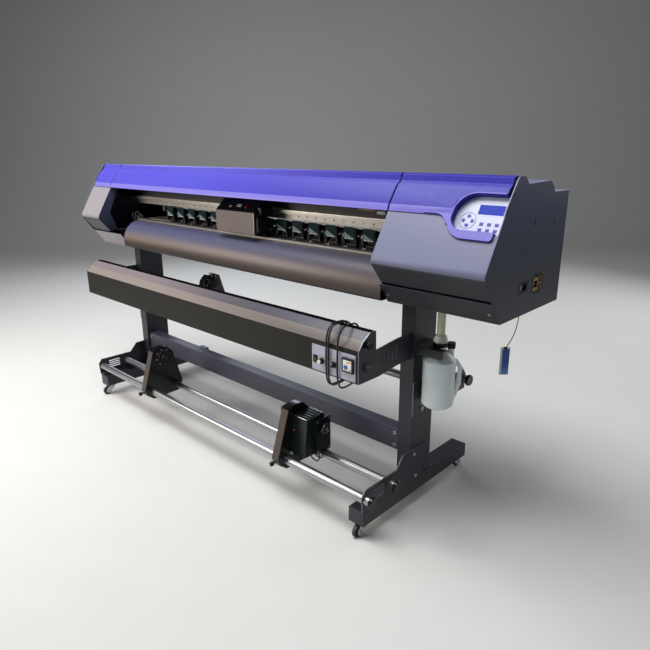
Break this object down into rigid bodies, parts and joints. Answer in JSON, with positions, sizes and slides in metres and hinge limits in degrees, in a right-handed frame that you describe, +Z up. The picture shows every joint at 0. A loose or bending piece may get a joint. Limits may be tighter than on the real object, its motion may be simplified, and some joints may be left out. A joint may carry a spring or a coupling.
{
  "type": "wide-format inkjet printer",
  "caption": "Wide roll-fed inkjet printer on a castered stand, with a violet lid, sliding print carriage, front dryer bar, take-up and feed roll holders and a waste bottle.",
  "frame": {"origin": "on the floor under the middle of the machine's bounding box", "axes": "+X along the machine to the user's right, +Y to its back, +Z up"},
  "size_m": [2.65, 0.884, 1.39],
  "materials": {
    "slate_paint": "satin powder coat",
    "grey_paint": "satin powder coat",
    "dark_paint": "satin powder coat",
    "black_paint": "semi-matt paint",
    "violet_plastic": "gloss",
    "panel_film": "satin film",
    "bare_aluminium": "brushed",
    "chromed_steel": "polished",
    "ground_steel": "ground",
    "steel_screws": "zinc plated",
    "gloss_black": "gloss",
    "black_plastic": "matt",
    "milky_plastic": "translucent",
    "cream_plastic": "matt",
    "belt_rubber": "matt",
    "roller_rubber": "matt",
    "wheel_rubber": "matt",
    "lead_rubber": "matt",
    "yellow_sleeve": "matt"
  },
  "bodies": {
    "stand": {"legs": "slate_paint", "feet": "slate_paint", "cross_beam": "slate_paint", "stand_bolts": "steel_screws", "rod_brackets": "slate_paint", "roll_rods": "chromed_steel", "base_frame": "grey_paint", "platen": "bare_aluminium", "aprons": "grey_paint", "rear_cover": "dark_paint", "left_end_cover": "grey_paint", "right_cabinet": "grey_paint", "end_top_covers": "violet_plastic", "control_panel": "panel_film", "gantry_beam": "black_paint", "guide_rail": "bare_aluminium", "drive_motors": "black_paint", "drive_belt": "belt_rubber", "power_inlet": "black_plastic", "bottle_holder": "black_paint", "waste_hose": "cream_plastic", "dryer_arms": "dark_paint", "earth_lead": "yellow_sleeve"},
    "lid": {"top_lid": "violet_plastic"},
    "print_carriage": {"carriage": "black_plastic"},
    "motor_pulley_body": {"motor_pulley": "bare_aluminium"},
    "feed_roller": {"grit_roller": "ground_steel"},
    "pinch_bar": {"pinch_arms": "black_plastic"},
    "pinch_wheels": {"pinch_rollers": "roller_rubber"},
    "caps": {"capping_station": "black_plastic"},
    "bottle": {"waste_bottle": "milky_plastic"},
    "dryer": {"dryer_housing": "dark_paint", "dryer_panel": "bare_aluminium", "temperature_controller": "black_plastic", "dryer_heater": "ground_steel", "dryer_cord": "lead_rubber", "dryer_plug": "black_plastic"},
    "dryer_locks": {"dryer_lock_knobs": "black_plastic"},
    "dryer_rocker": {"dryer_switch": "black_plastic"},
    "heat_dial": {"heat_knob": "black_plastic"},
    "fan_dial": {"fan_knob": "black_plastic"},
    "mains_rocker": {"power_switch": "black_plastic"},
    "idle_slider": {"takeup_idle_support": "gloss_black"},
    "idle_spindle": {"takeup_idle_chuck": "black_plastic"},
    "idle_clamp": {"takeup_idle_lock": "black_plastic"},
    "drive_slider": {"takeup_drive_support": "gloss_black"},
    "drive_spindle": {"takeup_drive_chuck": "black_plastic"},
    "drive_clamp": {"takeup_drive_lock": "black_plastic"},
    "feed_left_slider": {"feed_left_support": "gloss_black"},
    "feed_left_spindle": {"feed_left_chuck": "black_plastic"},
    "feed_right_slider": {"feed_right_support": "gloss_black"},
    "feed_right_spindle": {"feed_right_chuck": "black_plastic"},
    "swivel_front_left": {"caster_fork_front_left": "steel_screws"},
    "wheel_front_left": {"caster_wheel_front_left": "wheel_rubber"},
    "swivel_front_right": {"caster_fork_front_right": "steel_screws"},
    "wheel_front_right": {"caster_wheel_front_right": "wheel_rubber"},
    "swivel_rear_left": {"caster_fork_rear_left": "steel_screws"},
    "wheel_rear_left": {"caster_wheel_rear_left": "wheel_rubber"},
    "swivel_rear_right": {"caster_fork_rear_right": "steel_screws"},
    "wheel_rear_right": {"caster_wheel_rear_right": "wheel_rubber"}
  },
  "joints": [
    {"name": "swivel_front_left_turn", "type": "hinge", "parent": "stand", "child": "swivel_front_left", "pos_m": [-1.173, -0.34, 0.06], "axis": [0, 0, 1], "continuous": true},
    {"name": "wheel_front_left_roll", "type": "hinge", "parent": "swivel_front_left", "child": "wheel_front_left", "pos_m": [-1.173, -0.37, 0.025], "axis": [1, 0, 0], "continuous": true},
    {"name": "swivel_front_right_turn", "type": "hinge", "parent": "stand", "child": "swivel_front_right", "pos_m": [0.883, -0.34, 0.06], "axis": [0, 0, 1], "continuous": true},
    {"name": "wheel_front_right_roll", "type": "hinge", "parent": "swivel_front_right", "child": "wheel_front_right", "pos_m": [0.883, -0.37, 0.025], "axis": [1, 0, 0], "continuous": true},
    {"name": "swivel_rear_left_turn", "type": "hinge", "parent": "stand", "child": "swivel_rear_left", "pos_m": [-1.173, 0.34, 0.06], "axis": [0, 0, 1], "continuous": true},
    {"name": "wheel_rear_left_roll", "type": "hinge", "parent": "swivel_rear_left", "child": "wheel_rear_left", "pos_m": [-1.173, 0.37, 0.025], "axis": [1, 0, 0], "continuous": true},
    {"name": "swivel_rear_right_turn", "type": "hinge", "parent": "stand", "child": "swivel_rear_right", "pos_m": [0.883, 0.34, 0.06], "axis": [0, 0, 1], "continuous": true},
    {"name": "wheel_rear_right_roll", "type": "hinge", "parent": "swivel_rear_right", "child": "wheel_rear_right", "pos_m": [0.883, 0.37, 0.025], "axis": [1, 0, 0], "continuous": true},
    {"name": "idle_slide", "type": "slide", "parent": "stand", "child": "idle_slider", "axis": [1, 0, 0], "range_m": [-0.4, 0.4]},
    {"name": "idle_spin", "type": "hinge", "parent": "idle_slider", "child": "idle_spindle", "pos_m": [-0.592, -0.29, 0.368], "axis": [1, 0, 0], "continuous": true},
    {"name": "idle_lock_turn", "type": "hinge", "parent": "idle_slider", "child": "idle_clamp", "pos_m": [-0.632, -0.43, 0.18], "axis": [0, 1, 0], "continuous": true},
    {"name": "drive_slide", "type": "slide", "parent": "stand", "child": "drive_slider", "axis": [1, 0, 0], "range_m": [-0.4, 0.2]},
    {"name": "drive_spin", "type": "hinge", "parent": "drive_slider", "child": "drive_spindle", "pos_m": [0.41, -0.29, 0.368], "axis": [1, 0, 0], "continuous": true},
    {"name": "drive_lock_turn", "type": "hinge", "parent": "drive_slider", "child": "drive_clamp", "pos_m": [0.455, -0.43, 0.18], "axis": [0, 1, 0], "continuous": true},
    {"name": "feed_left_slide", "type": "slide", "parent": "stand", "child": "feed_left_slider", "axis": [1, 0, 0], "range_m": [-0.2, 0.4]},
    {"name": "feed_left_spin", "type": "hinge", "parent": "feed_left_slider", "child": "feed_left_spindle", "pos_m": [-0.82, 0.235, 0.668], "axis": [1, 0, 0], "continuous": true},
    {"name": "feed_right_slide", "type": "slide", "parent": "stand", "child": "feed_right_slider", "axis": [1, 0, 0], "range_m": [-0.4, 0.09]},
    {"name": "feed_right_spin", "type": "hinge", "parent": "feed_right_slider", "child": "feed_right_spindle", "pos_m": [0.69, 0.235, 0.668], "axis": [1, 0, 0], "continuous": true},
    {"name": "lid_hinge", "type": "hinge", "parent": "stand", "child": "lid", "pos_m": [-0.112, -0.084, 1.362], "axis": [-1, 0, 0], "range_deg": [0, 65]},
    {"name": "carriage_slide", "type": "slide", "parent": "stand", "child": "print_carriage", "axis": [1, 0, 0], "range_m": [-1.035, 1.065]},
    {"name": "pulley_spin", "type": "hinge", "parent": "stand", "child": "motor_pulley_body", "pos_m": [1.24, -0.097, 1.256], "axis": [0, 0, 1], "continuous": true},
    {"name": "grit_spin", "type": "hinge", "parent": "stand", "child": "feed_roller", "pos_m": [0, -0.1, 1.0773], "axis": [1, 0, 0], "continuous": true},
    {"name": "pinch_lift", "type": "hinge", "parent": "stand", "child": "pinch_bar", "pos_m": [0, -0.07, 1.15], "axis": [-1, 0, 0], "range_deg": [0, 8]},
    {"name": "pinch_spin", "type": "hinge", "parent": "pinch_bar", "child": "pinch_wheels", "pos_m": [0, -0.1, 1.0986], "axis": [1, 0, 0], "continuous": true},
    {"name": "cap_lift", "type": "slide", "parent": "stand", "child": "caps", "axis": [0, 0, 1], "range_m": [0, 0.012]},
    {"name": "bottle_pull", "type": "slide", "parent": "stand", "child": "bottle", "axis": [1, 0, 0], "range_m": [0, 0.12]},
    {"name": "dryer_tilt", "type": "hinge", "parent": "stand", "child": "dryer", "pos_m": [-0.145, -0.347, 0.712], "axis": [1, 0, 0], "range_deg": [-10, 10]},
    {"name": "dryer_lock_turn", "type": "hinge", "parent": "dryer", "child": "dryer_locks", "pos_m": [-0.145, -0.353, 0.801], "axis": [1, 0, 0], "continuous": true},
    {"name": "dryer_switch_rock", "type": "hinge", "parent": "dryer", "child": "dryer_rocker", "pos_m": [0.6915, -0.396, 0.712], "axis": [-1, 0, 0], "range_deg": [0, 16]},
    {"name": "heat_turn", "type": "hinge", "parent": "dryer", "child": "heat_dial", "pos_m": [0.7255, -0.41, 0.711], "axis": [0, 1, 0], "range_deg": [0, 270]},
    {"name": "fan_turn", "type": "hinge", "parent": "dryer", "child": "fan_dial", "pos_m": [0.7865, -0.41, 0.711], "axis": [0, 1, 0], "range_deg": [0, 270]},
    {"name": "mains_switch_rock", "type": "hinge", "parent": "stand", "child": "mains_rocker", "pos_m": [1.3165, -0.06, 1.026], "axis": [0, 0, -1], "range_deg": [0, 12]}
  ],
  "couplings": [
    {"joint": "pulley_spin", "follows": "carriage_slide", "rad_per_m": 62.5}
  ]
}
